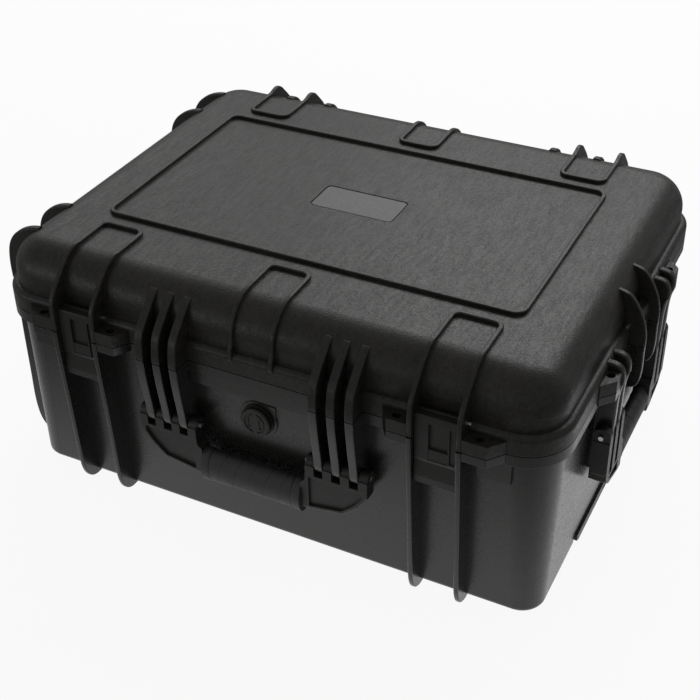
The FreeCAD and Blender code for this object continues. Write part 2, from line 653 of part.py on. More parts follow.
def screw_places():
    """Centres of the cover's screws, on the underside."""
    return [(x, y) for x in (-200.0, 0.0, 200.0) for y in (-36.0, 36.0)]


def screw_holes():
    """Blind holes in the tunnel's roof for the cover's screws."""
    return [rod(1.8, V(x, y, CHANNEL_Z - 1), Z_AXIS, WALL - 1) for x, y in screw_places()]


def latch(width, foot_width, deep, inside):
    """A latch lever, built with its pivot at the origin: +Y into the case, +Z up.

    deep is how far its face stands out, inside where its back stops at the base.
    """
    low, rim, barrel = LATCH_FOOT - LATCH_Z, POCKET[0] - LATCH_Z, LATCH_BARREL
    side = [(-4.5, 3.6), (-deep + 1.5, 3.6), (-deep + 0.6, 2.2), (-deep, -14), (-deep + 0.4, -46),
            (-deep + 1.5, -49), (-deep, low + 8), (-deep + 0.6, low), (-deep + 5.0, low),
            (inside - 4, -50), (inside, -46), (inside, rim - 0.6), (0.5, rim + 2), (barrel, 0),
            (barrel - 1.2, 3.2)]
    body = plate_x(side, 0, width)
    body = body.fuse(rod(barrel, V(-width / 2, 0, 0), X_AXIS, width)).removeSplitter()
    if foot_width < width:
        for sign in (-1, 1):
            x0, x1 = sorted((sign * foot_width / 2, sign * (width / 2 + 1)))
            body = body.cut(box(x0, x1, -30, 30, low - 1, PARTING + 5 - LATCH_Z))
    face = min(width, foot_width)
    column = (-face * 0.17, face * 0.28)
    body = body.cut([box(column[0], column[1], -deep - 4, -deep + 3.0, -45.5, -4),
                     box(face * 0.32, face * 0.43, -deep - 4, -deep + 1.6, -44.5, -4)])
    body = body.fuse(box(column[0], column[1], -deep + 0.9, -deep + 3.5, -45.5, -33)).removeSplitter()
    bore = rod(LATCH_PIN_R + RUNNING, V(-width, 0, 0), X_AXIS, 2 * width)
    return body.cut(bore)


def front_latch(sign):
    """A latch on the front, left (-1) or right (+1)."""
    solid = latch(LATCH_W, LATCH_W, LATCH_DEEP, -2.4)
    return solid.translated(V(sign * (LOOP_IN + LOOP_OUT) / 2, -LATCH_Y, LATCH_Z))


def side_latch():
    """The latch on the right side."""
    solid = latch(SIDE_LATCH_W, SIDE_LATCH_FOOT_W, SIDE_LATCH_DEEP, -3.0)
    solid.rotate(V(0, 0, 0), Z_AXIS, 90)
    return solid.translated(V(LATCH_SIDE_X, 0, LATCH_Z))


def handle_frame(blades, outline, low_end, panel, depth_in, depth_out, radius, slot_r, window):
    """A folding handle about an axis through the origin: the profile is in (x, z), -Y is outside.

    The outline and the panel are for the half at +x; the blades say where its knuckles go. The
    edges of the outline up to low_end are rounded.
    """
    full = outline + [(-a, b) for a, b in reversed(outline) if a]
    slab = plate_y(full, (depth_in - depth_out) / 2, depth_in + depth_out)
    slab = slab.makeFillet(HANDLE_ROUND, [e for e in slab.Edges if e.BoundBox.YLength < 0.01
                                          and e.BoundBox.ZMax < low_end + 0.01])
    first = blades[0] - 1.5 * HANDLE_PITCH
    last = blades[-1] + 1.5 * HANDLE_PITCH
    solids = [slab]
    solids += both(rod(radius, V(first, 0, 0), X_AXIS, last - first), X_AXIS)
    solids += both(box(first, last, -depth_out, depth_in, -slot_r - 2, 0), X_AXIS)
    frame = fuse(solids)
    cuts = [window]
    for x in blades:
        gap = BLADE + 2 * SIDE_GAP
        slot = box(x - gap / 2, x + gap / 2, -30, 30, -slot_r, 30)
        cuts += both(slot, X_AXIS)
    pocket = Part.Face(profile(panel, 0)).extrude(V(0, 0, 5))
    pocket.rotate(V(0, 0, 0), X_AXIS, 90)
    pocket.translate(V(0, -depth_out + 2.6, 0))
    cuts += both(pocket, X_AXIS)
    bore = rod(HANDLE_PIN_R + RUNNING, V(-200, 0, 0), X_AXIS, 400)
    return frame.cut(cuts + [bore]).removeSplitter()


def grip_bar(half, z_mid, tall, deep, ends):
    """A rounded bar along X, with its ends a little larger where it meets the frame."""
    sections = []
    for x, grow in ((-half, ends), (-half + 6, ends), (-half + 9, 0), (half - 9, 0), (half - 6, ends),
                    (half, ends)):
        edge = Part.Ellipse(V(0, 0, 0), tall / 2 + grow, deep / 2 + grow).toShape()
        edge.rotate(V(0, 0, 0), Y_AXIS, 90)
        sections.append(Part.Wire([edge]).translated(V(x, 0, z_mid)))
    return Part.makeLoft(sections, True, True)


def drop_by(points, drop):
    """Profile points given at their height above the floor, moved to the pivot's height."""
    return [(a, b - drop) for a, b in points]


def front_handle():
    """The front handle's frame and its rubber grip, hanging at rest."""
    drop = HANDLE_Z
    outline = drop_by([(0, 72), (25, 74), (72, 79), (102, 84), (118, 98), (128.2, 113), (128.2, 127),
                       (62.0, 127), (61, 114), (55, 109), (0, 105)], drop)
    panel = drop_by([(65, 119), (65, 82.5), (100, 88), (114, 101), (122.5, 112.5), (122.5, 119)], drop)
    window = box(-60, 60, -30, 30, 113 - drop, 40)
    frame = handle_frame(BLADES_X, outline, 113 - drop, panel, 6.0, 9.0, HANDLE_R, 11.0, window)
    grip = grip_bar(56, 88 - drop, 38, 23, 1.0).translated(V(0, -1.5, 0))
    core = box(-57, 57, -6.0, 3.0, 82 - drop, 98 - drop)
    space = box(-56, 56, -40, 40, 60 - drop, 113 - drop)
    frame = frame.cut(space).fuse(core).removeSplitter()
    grip = grip.cut(core)
    place = V(0, -HANDLE_Y, HANDLE_Z)
    return frame.translated(place), grip.translated(place)


def side_handle():
    """The side handle's frame and its rubber grip, hanging at rest."""
    drop = SIDE_HANDLE_Z
    outline = drop_by([(0, 70), (60, 74), (92, 82), (103, 93), (106, 103), (106, 142), (57.8, 142),
                       (57, 118), (50, 108), (0, 106)], drop)
    panel = drop_by([(63, 92), (63, 80), (86, 86), (95, 92)], drop)
    window = box(-56, 56, -30, 30, 113 - drop, 40)
    frame = handle_frame(SIDE_BLADES_Y, outline, 103 - drop, panel, 8.5, 9.5, SIDE_HANDLE_R, 52.0, window)
    grip = grip_bar(50, 88 - drop, 32, 18.6, 0.4).translated(V(0, 0.2, 0))
    core = box(-51, 51, -2.5, 5.5, 80 - drop, 96 - drop)
    frame = frame.cut(box(-50, 50, -30, 30, 60 - drop, 113 - drop)).fuse(core).removeSplitter()
    grip = grip.cut(core)
    place = V(SIDE_HANDLE_X, 0, SIDE_HANDLE_Z)
    turned = []
    for shape in (frame, grip):
        shape.rotate(V(0, 0, 0), Z_AXIS, 90)
        turned.append(shape.translated(place))
    return turned


def valve():
    """The pressure valve: body, turning knob, seal and the nut inside the wall."""
    face = -VALVE_PAD_Y
    top = face - VALVE_OUT
    back = face - VALVE_FLANGE
    body = fuse([rod(VALVE_R, V(0, back, VALVE_Z), Y_AXIS, VALVE_FLANGE),
                 rod(VALVE_NECK_R, V(0, back, VALVE_Z), Y_AXIS, VALVE_FLANGE + 16.0)])
    body = body.cut(rod(VALVE_STEM_R + 0.3, V(0, face - 4.0, VALVE_Z), Y_AXIS, 30.0))
    knob = rod(VALVE_KNOB_R, V(0, top, VALVE_Z), Y_AXIS, back - 0.3 - top)
    knob = knob.makeFillet(2.2, [e for e in knob.Edges if abs(e.BoundBox.YMax - top) < 0.01])
    groove = ring(12.0, 10.0, V(0, top - 0.5, VALVE_Z), Y_AXIS, 1.3)
    groove = groove.cut(box(-2.2, 2.2, top - 1, top + 1.2, VALVE_Z - 13, VALVE_Z + 13))
    slots = [box(*sorted((sign * 7.5, sign * 4.5)), top - 1, top + 0.8, VALVE_Z - 6, VALVE_Z + 6)
             for sign in (-1, 1)]
    knob = knob.cut(slots + [groove])
    knob = fuse([knob, rod(VALVE_STEM_R, V(0, face - 4.0, VALVE_Z), Y_AXIS, 18.0)])
    inner_face = face + VALVE_WALL
    seal = ring(12.4, VALVE_NECK_R + 0.2, V(0, inner_face, VALVE_Z), Y_AXIS, 1.5)
    nut = hexagon(12.5, V(0, inner_face + 1.6, VALVE_Z), 5.0)
    nut = nut.cut(rod(VALVE_NECK_R + PRESSED, V(0, face, VALVE_Z), Y_AXIS, 30))
    return body, knob, seal, nut


def hexagon(radius, place, length):
    """A hexagonal bar along Y."""
    points = [(radius * math.cos(math.radians(60 * i)), radius * math.sin(math.radians(60 * i)))
              for i in range(6)]
    solid = Part.Face(profile(points, 0)).extrude(V(0, 0, length))
    solid.rotate(V(0, 0, 0), X_AXIS, -90)
    return solid.translated(place)


def wheel(sign):
    """A wheel's hub, its tyre and its bush."""
    y0 = sign * WHEEL_Y - WHEEL_W / 2
    start = V(WHEEL_X, y0, WHEEL_Z)
    hub = rod(HUB_R, start, Y_AXIS, WHEEL_W)
    for face in (y0, y0 + WHEEL_W - 5):
        hub = hub.cut(ring(HUB_R - 3.5, BUSH_R + 3, V(WHEEL_X, face, WHEEL_Z), Y_AXIS, 5))
    hub = hub.cut(rod(BUSH_R, start, Y_AXIS, WHEEL_W))
    tyre = rod(WHEEL_R, start, Y_AXIS, WHEEL_W)
    tyre = tyre.makeFillet(4.0, [e for e in tyre.Edges if e.BoundBox.YLength < 0.01])
    tyre = tyre.cut(rod(HUB_R + PRESSED, start, Y_AXIS, WHEEL_W))
    bush = ring(BUSH_R - PRESSED, AXLE_R + RUNNING, start, Y_AXIS, WHEEL_W)
    return hub, tyre, bush


def pull_handle_guides():
    """What carries the pull handle in the base: sleeves, guides and stops in the tunnel."""
    sleeves, guides, stops = [], [], []
    x0, x1 = SLEEVE_X
    for y in (-TUBE_Y, TUBE_Y):
        sleeves.append(ring(SLEEVE_R, SLEEVE_BORE, V(x0, y, TUBE_Z), X_AXIS, x1 - x0))
        guide = box(x1, NOTCH_X, y - 12, y + 12, GUIDE_LOW, CHANNEL_Z - 0.1)
        guides.append(guide.cut(rod(TUBE_R + RUNNING, V(x1 - 1, y, TUBE_Z), X_AXIS, 20)))
        stops.append(box(CHANNEL_X, x0, y - 11, y + 11, GUIDE_LOW, CHANNEL_Z - 0.1))
    return sleeves, guides, stops


def tunnel_cover():
    """The plate that closes the tunnel from below, with its posts, and its screws."""
    cover = [box(CHANNEL_X + 0.3, NOTCH_X - 0.3, -CHANNEL_Y + 0.3, CHANNEL_Y - 0.3, BOTTOM,
                 BOTTOM + COVER_T)]
    screws, cuts = [], []
    for x, y in screw_places():
        low = V(x, y, BOTTOM)
        cover.append(rod(5.0, low, Z_AXIS, CHANNEL_Z - 0.1 - BOTTOM))
        cuts += [rod(SCREW_R + 0.15, V(x, y, 0), Z_AXIS, 60),
                 rod(SCREW_HEAD_R + 0.2, V(x, y, 0), Z_AXIS, BOTTOM + SCREW_HEAD + 0.1)]
        screw = fuse([rod(SCREW_HEAD_R, low, Z_AXIS, SCREW_HEAD),
                      rod(SCREW_R, low, Z_AXIS, CHANNEL_Z + 1.7 - BOTTOM)])
        screws.append(screw.cut([box(x - 2.2, x + 2.2, y - 0.4, y + 0.4, 0, BOTTOM + 0.9),
                                 box(x - 0.4, x + 0.4, y - 2.2, y + 2.2, 0, BOTTOM + 0.9)]))
    return fuse(cover).cut(cuts), screws


def pull_handle_tubes():
    """What slides: tubes, their end plugs and the release rods inside them."""
    tubes, plugs, rods = [], [], []
    x0, x1 = TUBE_X
    for y in (-TUBE_Y, TUBE_Y):
        tubes.append(ring(TUBE_R, TUBE_R - TUBE_WALL, V(x0, y, TUBE_Z), X_AXIS, x1 - x0))
        plug = rod(SLEEVE_BORE - RUNNING, V(x0 - PLUG, y, TUBE_Z), X_AXIS, PLUG)
        plugs.append(plug.cut(rod(ROD_R + 0.1, V(x0 - PLUG - 1, y, TUBE_Z), X_AXIS, PLUG + 2)))
        rods.append(rod(ROD_R, V(x0 - PLUG, y, TUBE_Z), X_AXIS, x1 - x0 + PLUG - 1))
    return tubes, plugs, rods


def pull_grip():
    """The pull handle's grip, its release button and the button's spring."""
    x0, x1 = GRIP_X
    z0, z1 = GRIP_Z
    button0, button1 = BUTTON_Z
    mid, deep = (button0 + button1) / 2, x0 + 12
    bar = box(x0, x1, -GRIP_Y, GRIP_Y, z0, z1)
    low_edge = [e for e in bar.Edges if e.BoundBox.YLength > GRIP_Y and e.BoundBox.XMin > x1 - 1
                and e.BoundBox.ZMax < z0 + 1]
    bar = bar.makeFillet(5.0, low_edge)
    cuts = [box(x0 - 1, x0 + 8, -44, 44, z0 - 1, z1 - 3.5),
            box(deep, x1 + 1, -BUTTON_Y - 0.3, BUTTON_Y + 0.3, button0 - 0.3, button1 + 0.3)]
    for y in (-TUBE_Y, TUBE_Y):
        cuts.append(rod(TUBE_R + PRESSED, V(x0 - 1, y, TUBE_Z), X_AXIS, TUBE_X[1] - x0 + 1))
        ramp = profile([(y * GRIP_Y / TUBE_Y, z0 - 1), (y * GRIP_Y / TUBE_Y, z0 + 7),
                        (y * 85.0 / TUBE_Y, z0 - 1)], 0)
        ramp = Part.Face(ramp).extrude(V(0, 0, x1 - x0 + 2))
        ramp.rotate(V(0, 0, 0), V(1, 1, 1), 120)
        cuts.append(ramp.translated(V(x0 - 1, 0, 0)))
    bar = bar.cut(cuts)
    button = box(x0 + 16.5, x1 - 1.0, -BUTTON_Y, BUTTON_Y, button0, button1)
    button = button.makeFillet(1.2, [e for e in button.Edges if e.BoundBox.XMin > x1 - 1.2])
    button = button.cut(rod(SPRING_HOLE_R, V(x0 + 16, 0, mid), X_AXIS, 4.6))
    spring = ring(SPRING_R, SPRING_R - 0.6, V(deep + 0.1, 0, mid), X_AXIS, 4.8)
    return bar, button, spring


def foam_plan():
    """The foam above its bottom sheet as blocks: x range, y range, floor and top."""
    far, top, sheet = 330.0, FOAM_TOP, FOAM_SHEET
    arms0, arms1, right0, right1 = ARMS_LEFT + ARMS_RIGHT
    bay0, bay1 = BAY_X
    side0, side1 = SIDE_POCKET_X
    near, wide = SIDE_POCKET_Y
    batt0, batt1 = BATTERY_X
    middle = [(-far, FOAM_LEFT, -far, far, FOAM_OVER_WELLS, top),
              (FOAM_LEFT, arms0, -far, far, sheet, top),
              (arms0, bay0, -ARMS_Y, ARMS_Y, sheet, ARMS_FLOOR),
              (bay1, right1, -BAY_Y, BAY_Y, sheet, ARMS_FLOOR),
              (right1, batt0, -far, far, sheet, top), (batt1, far, -far, far, sheet, top)]
    sides = [(arms0, arms1, ARMS_Y, far, sheet, top), (bay0, arms1, BAY_Y, ARMS_Y, sheet, ARMS_FLOOR),
             (arms1, right0, BAY_Y, near, sheet, top), (arms1, side0, near, far, sheet, top),
             (side1, right0, near, far, sheet, top), (side0, side1, near, wide, sheet, POCKET_FLOOR),
             (side0, side1, wide, far, sheet, top), (right0, right1, ARMS_Y, far, sheet, top),
             (right0, right1, BAY_Y, ARMS_Y, sheet, ARMS_FLOOR)]
    for i in range(BATTERIES):
        mid = (i - BATTERIES // 2) * BATTERY_PITCH
        middle.append((batt0, batt1, mid - BATTERY_W / 2, mid + BATTERY_W / 2, sheet, POCKET_FLOOR))
        if mid > 0:
            middle += [(batt0, batt1, *sorted((sign * (mid - BATTERY_PITCH + BATTERY_W / 2),
                                               sign * (mid - BATTERY_W / 2))), sheet, top)
                       for sign in (-1, 1)]
    sides.append((batt0, batt1, BATTERIES // 2 * BATTERY_PITCH + BATTERY_W / 2, far, sheet, top))
    return middle, sides


def base_foam():
    """The foam in the base, cut from a sheet and blocks: drone bay, arms' bays and pockets."""
    inset = WALL + FOAM_CLEAR
    outline = base_block(inset, FOAM_FLOOR, FOAM_TOP)
    sheet = outline.common(box(FOAM_LEFT, 330, -330, 330, FOAM_FLOOR, FOAM_SHEET))
    nut = box(-20, 20, -BASE_TOP_Y, -VALVE_PAD_Y + 22, VALVE_Z - 18, FOAM_TOP + 5)
    middle, sides = foam_plan()
    plan = middle + sides + [(x0, x1, -y1, -y0, z0, z1) for x0, x1, y0, y1, z0, z1 in sides]
    blocks = [outline.common(box(*place)).cut(nut) for place in plan]
    return sheet, blocks


def lid_foam():
    """The soft pad inside the lid."""
    x, y = LID_X - WALL - FOAM_CLEAR, LID_Y - WALL - FOAM_CLEAR
    pad = rounded_block(x, y, CORNER - WALL - FOAM_CLEAR, PARTING + 14, TOP - WALL - FOAM_CLEAR)
    return pad.makeFillet(LID_ROUND - WALL - FOAM_CLEAR, edges_at(pad, TOP - WALL - FOAM_CLEAR))


def main():
    """Builds every node."""
    os.makedirs("parts", exist_ok=True)
    write("base_shell", [base_shell()])
    write("base_ribs", base_ribs())
    write("base_blades", base_blades())
    write("base_fins", base_fins())
    write("base_lugs", base_lugs())
    write("lid_shell", [lid_shell()])
    write("lid_knuckles", lid_knuckles())
    write("lid_blades", trimmed(lid_blade_solids(), lid_outside()))
    write("lid_fins", trimmed(lid_fin_solids(), lid_outside() + latch_pin_bars(LATCH_PIN_R + PRESSED)))
    write("lid_lugs", lid_lugs())
    write("lid_gasket", [gasket_ring(1.7, 4.8, PARTING + 2.0, PARTING + 5.3)])
    write("name_plate", [rounded_block(47.7, 23.2, 5.2, TOP - 1.3, TOP - 0.2)])
    sheet, blocks = base_foam()
    write("foam_sheet", [sheet])
    write("foam_blocks", blocks)
    write("lid_foam", [lid_foam()])
    span = (LOOP_IN - 1.5, LOOP_OUT + 1.5)
    write("hinge_pins", hinge_rods([span], HINGE_PIN_R))
    write("latch_left", [front_latch(-1)])
    write("latch_right", [front_latch(1)])
    write("latch_side", [side_latch()])
    write("latch_pins", latch_pin_bars(LATCH_PIN_R))
    frame, grip = front_handle()
    write("front_handle_frame", [frame])
    write("front_handle_grip", [grip])
    write("front_handle_pins", handle_pin_bars(HANDLE_PIN_R, 2.5))
    frame, grip = side_handle()
    write("side_handle_frame", [frame])
    write("side_handle_grip", [grip])
    write("side_handle_pins", side_handle_pin_bars(HANDLE_PIN_R, 2.5))
    for name, solid in zip(("body", "knob", "seal", "nut"), valve()):
        write("valve_" + name, [solid])
    for name, sign in (("front", -1), ("rear", 1)):
        for part, solid in zip(("hub", "tyre", "bush"), wheel(sign)):
            write("wheel_" + part + "_" + name, [solid])
    write("wheel_axles", axle_bars(AXLE_R))
    for name, solids in zip(("sleeves", "guides", "stops"), pull_handle_guides()):
        write("trolley_" + name, solids)
    cover, screws = tunnel_cover()
    write("trolley_cover", [cover])
    write("cover_screws", screws)
    for name, solids in zip(("tubes", "plugs", "rods"), pull_handle_tubes()):
        write("trolley_" + name, solids)
    bar, button, spring = pull_grip()
    write("trolley_grip", [bar])
    write("trolley_button", [button])
    write("button_spring", [spring])


main()
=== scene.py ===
"""Looks of the wheeled carrying case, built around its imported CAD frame. Lengths are in metres."""
import json
import math

import bpy
from mathutils import Matrix, Vector


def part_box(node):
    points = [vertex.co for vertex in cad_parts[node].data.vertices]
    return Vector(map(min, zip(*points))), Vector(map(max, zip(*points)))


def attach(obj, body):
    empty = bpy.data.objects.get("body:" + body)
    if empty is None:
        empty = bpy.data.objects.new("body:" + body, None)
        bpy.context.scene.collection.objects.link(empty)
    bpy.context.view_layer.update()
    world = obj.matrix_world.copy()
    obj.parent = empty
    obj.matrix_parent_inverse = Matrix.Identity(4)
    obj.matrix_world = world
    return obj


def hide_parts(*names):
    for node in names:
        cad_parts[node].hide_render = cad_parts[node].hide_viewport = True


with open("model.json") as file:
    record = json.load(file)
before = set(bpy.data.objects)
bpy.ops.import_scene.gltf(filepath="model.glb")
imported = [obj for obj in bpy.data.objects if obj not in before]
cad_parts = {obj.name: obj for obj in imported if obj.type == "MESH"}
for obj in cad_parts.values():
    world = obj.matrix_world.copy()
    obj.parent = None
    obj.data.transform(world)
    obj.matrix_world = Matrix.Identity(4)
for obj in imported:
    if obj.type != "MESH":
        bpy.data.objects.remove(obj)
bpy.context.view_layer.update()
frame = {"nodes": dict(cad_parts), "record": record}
NODES = frame["nodes"]

# ---- the view -----------------------------------------------------------------------------------
CAMERA_AT = Vector((0.53448, -1.07871, 0.94533))
CAMERA_X = Vector((0.89564, 0.44459, -0.01328))
CAMERA_Y = Vector((-0.23637, 0.50105, 0.83252))
SENSOR, LENS = 36.0, 66.62      # mm
SHIFT_Y = -0.057

# ---- the light: a lamp's name, place, size and power -------------------------------------------
LAMP_AIM = Vector((0.0, 0.0, 0.2))
LAMPS = [
    ("back_top", (0.05, 2.0, 2.0), (2.4, 1.2), 36.0),
    ("back_left", (-1.8, 1.6, 1.8), (1.4, 1.4), 9.0),
    ("left_low", (-1.6, -2.0, 0.35), (1.6, 0.5), 5.0),
]
WORLD_LIGHT, WORLD_MIRRORED = 0.3, 0.4      # the surround's level as a light and in mirror images
FLOOR_SIZE, FLOOR_TONE = 14.0, 0.86
GLOW_SHARE = 0.92                           # how much of the floor glows where it is seen or mirrored
GLOW_MIDDLE, GLOW_REACH = (0.04, 0.0, 0.0), (0.33, 0.26)    # the bright oval of the mirrored floor
GLOW_FADE, GLOW_FAR = (1.2, 2.1), 0.2       # where it fades, as shares of the oval, and to what level


def camera():
    """The camera at the photograph's viewing angle."""
    data = bpy.data.cameras.new("camera")
    data.lens = LENS
    data.sensor_width = SENSOR
    data.shift_y = SHIFT_Y
    data.clip_start, data.clip_end = 0.05, 30.0
    obj = bpy.data.objects.new("camera", data)
    bpy.context.collection.objects.link(obj)
    x, y = CAMERA_X.normalized(), CAMERA_Y.normalized()
    z = x.cross(y)
    obj.matrix_world = Matrix.Translation(CAMERA_AT) @ Matrix((x, y, z)).transposed().to_4x4()
    bpy.context.scene.camera = obj


def area_light(name, at, size, power):
    """A soft rectangular lamp aimed at the case's middle."""
    data = bpy.data.lights.new(name, "AREA")
    data.shape = "RECTANGLE"
    data.size, data.size_y = size
    data.energy = power
    obj = bpy.data.objects.new(name, data)
    bpy.context.collection.objects.link(obj)
    obj.location = at
    obj.rotation_euler = (LAMP_AIM - Vector(at)).to_track_quat("-Z", "Y").to_euler()


# ---- node helpers ---------------------------------------------------------------------------------
class Shader:
    """A material's node tree with short ways to add nodes."""

    def __init__(self, name):
        self.mat = bpy.data.materials.new(name)
        self.mat.use_nodes = True
        self.tree = self.mat.node_tree
        self.tree.nodes.clear()
        self.out = self.tree.nodes.new("ShaderNodeOutputMaterial")

    def add(self, kind, inputs=None, **settings):
        """Adds a node; inputs are values or sockets by name or index, settings are its properties."""
        node = self.tree.nodes.new(kind)
        for key, value in settings.items():
            setattr(node, key, value)
        for key, value in (inputs or {}).items():
            self.put(node.inputs[key], value)
        return node

    def put(self, socket, value):
        """Links a socket or sets its value."""
        if isinstance(value, bpy.types.NodeSocket):
            self.tree.links.new(value, socket)
        else:
            socket.default_value = value

    def place(self):
        """Object coordinates, in metres."""
        return self.add("ShaderNodeTexCoord").outputs["Object"]

    def noise(self, scale, detail=2.0, roughness=0.5, at=None, distortion=0.0):
        """A noise pattern's value, about 0.5 on average."""
        node = self.add("ShaderNodeTexNoise", {"Vector": at or self.place(), "Scale": scale,
                                               "Detail": detail, "Roughness": roughness,
                                               "Distortion": distortion})
        return node.outputs["Fac"]

    def ramp(self, value, low, high, to_low=0.0, to_high=1.0):
        """Maps a value's range to another, clamped."""
        node = self.add("ShaderNodeMapRange", {0: value, 1: low, 2: high, 3: to_low, 4: to_high})
        return node.outputs[0]

    def math(self, operation, a, b=0.0):
        """One arithmetic step."""
        return self.add("ShaderNodeMath", {0: a, 1: b}, operation=operation).outputs[0]

    def mix(self, factor, a, b):
        """Mixes two colours."""
        node = self.add("ShaderNodeMix", {0: factor, 6: a, 7: b}, data_type="RGBA")
        return node.outputs[2]

    def bump(self, height, distance, strength=1.0, normal=None):
        """A bump from a height, in metres."""
        inputs = {"Height": height, "Distance": distance, "Strength": strength}
        if normal is not None:
            inputs["Normal"] = normal
        return self.add("ShaderNodeBump", inputs).outputs["Normal"]

    def finish(self, **inputs):
        """The surface shader: keyword names are its sockets with underscores for spaces."""
        named = {key.replace("_", " "): value for key, value in inputs.items()}
        shader = self.add("ShaderNodeBsdfPrincipled", named)
        self.tree.links.new(shader.outputs[0], self.out.inputs[0])
        return self.mat


def grey(value, warm=0.0):
    """A neutral colour, a little warm where asked."""
    return (value * (1 + warm), value, value * (1 - warm), 1.0)


def moulded_plastic(name, tone, warm=0.09, rough=0.46, grain=0.00025, mottle=0.25, gloss=0.35,
                    streaks=0.0):
    """Black moulded plastic: pebbled grain, cloudy mottling, faint streaks and softened edges."""
    s = Shader(name)
    at = s.place()
    cloud = s.noise(30.0, 4.0, 0.62, at)
    fine = s.noise(430.0, 3.0, 0.6, at)
    turned = s.add("ShaderNodeMapping", {"Vector": at, "Rotation": (0.0, 0.0, 0.6),
                                         "Scale": (210.0, 38.0, 210.0)}).outputs[0]
    streak = s.noise(1.0, 4.0, 0.65, turned, 0.4)
    tint = s.math("ADD", s.ramp(cloud, 0.3, 0.7, -mottle * 0.5, mottle * 0.5),
                  s.ramp(fine, 0.32, 0.68, -mottle, mottle))
    tint = s.math("ADD", tint, s.ramp(streak, 0.35, 0.7, -streaks, streaks))
    base = s.mix(s.ramp(tint, -1.0, 1.0), grey(tone * 0.15, warm), grey(tone * 1.85, warm))
    roughness = s.math("ADD", s.ramp(fine, 0.35, 0.65, rough + 0.07, rough - 0.06),
                       s.ramp(streak, 0.35, 0.7, streaks * 0.12, -streaks * 0.12))
    soft = s.add("ShaderNodeBevel", {"Radius": 0.0008}, samples=4).outputs[0]
    height = s.math("ADD", s.math("ADD", fine, s.math("MULTIPLY", streak, streaks)),
                    s.math("MULTIPLY", cloud, 1.4))
    normal = s.bump(height, grain, 1.0, soft)
    return s.finish(Base_Color=base, Roughness=roughness, Normal=normal, Specular_IOR_Level=gloss)


RUBBER_ROUGH = 0.62


def rubber(name, tone):
    """Matt rubber with a fine tooth."""
    s = Shader(name)
    at = s.place()
    fine = s.noise(1100.0, 3.0, 0.6, at)
    base = s.mix(s.ramp(fine, 0.3, 0.7), grey(tone * 0.8, 0.02), grey(tone * 1.2, 0.02))
    cloud = s.noise(55.0, 3.0, 0.55, at)
    roughness = s.ramp(cloud, 0.3, 0.7, RUBBER_ROUGH - 0.06, RUBBER_ROUGH + 0.06)
    return s.finish(Base_Color=base, Roughness=roughness, IOR=1.5, Normal=s.bump(fine, 0.00005))


def metal(name, tone, rough=0.28):
    """Bright steel or aluminium with fine turning marks."""
    s = Shader(name)
    at = s.place()
    marks = s.noise(900.0, 4.0, 0.6, at)
    base = s.mix(s.ramp(marks, 0.3, 0.7), grey(tone * 0.9), grey(tone * 1.06))
    roughness = s.ramp(marks, 0.3, 0.7, rough - 0.05, rough + 0.08)
    return s.finish(Base_Color=base, Roughness=roughness, Metallic=1.0, Normal=s.bump(marks, 0.00002))


def foam(name, tone):
    """Closed-cell foam: small open cells at the cut face, their hollows darkened with painted shade."""
    s = Shader(name)
    at = s.place()
    cells = s.add("ShaderNodeTexVoronoi", {"Vector": at, "Scale": 750.0}).outputs["Distance"]
    cloud = s.noise(25.0, 3.0, 0.5, at)
    # painted shade: each open cell's hollow is coloured darker towards its middle
    dark = s.ramp(cells, 0.15, 0.55)
    base = s.mix(dark, grey(tone * 0.5), grey(tone * 1.2))
    base = s.mix(s.ramp(cloud, 0.35, 0.7, 0.0, 0.25), base, grey(tone * 1.6))
    return s.finish(Base_Color=base, Roughness=0.95, Normal=s.bump(cells, 0.0004, 0.8))


def floor_material():
    """A white floor that keeps soft shadows; its mirror image in the case fades with distance."""
    s = Shader("floor")
    rays = s.add("ShaderNodeLightPath")
    seen = s.math("MAXIMUM", rays.outputs["Is Camera Ray"],
                  s.math("MAXIMUM", rays.outputs["Is Glossy Ray"], rays.outputs["Is Transmission Ray"]))
    diffuse = s.add("ShaderNodeBsdfDiffuse", {"Color": grey(FLOOR_TONE)})
    shares = (1 / GLOW_REACH[0], 1 / GLOW_REACH[1], 0.0)
    middle = s.add("ShaderNodeVectorMath", {0: s.place(), 1: GLOW_MIDDLE}, operation="SUBTRACT")
    spread = s.add("ShaderNodeVectorMath", {0: middle.outputs[0], 1: shares}, operation="MULTIPLY")
    away = s.add("ShaderNodeVectorMath", {0: spread.outputs[0]}, operation="LENGTH").outputs["Value"]
    strength = s.math("MAXIMUM", rays.outputs["Is Camera Ray"], s.ramp(away, *GLOW_FADE, 1.0, GLOW_FAR))
    glow = s.add("ShaderNodeEmission", {"Color": grey(1.0), "Strength": strength})
    share = s.math("MULTIPLY", seen, GLOW_SHARE)
    both = s.add("ShaderNodeMixShader", {0: share, 1: diffuse.outputs[0], 2: glow.outputs[0]})
    s.tree.links.new(both.outputs[0], s.out.inputs[0])
    return s.mat


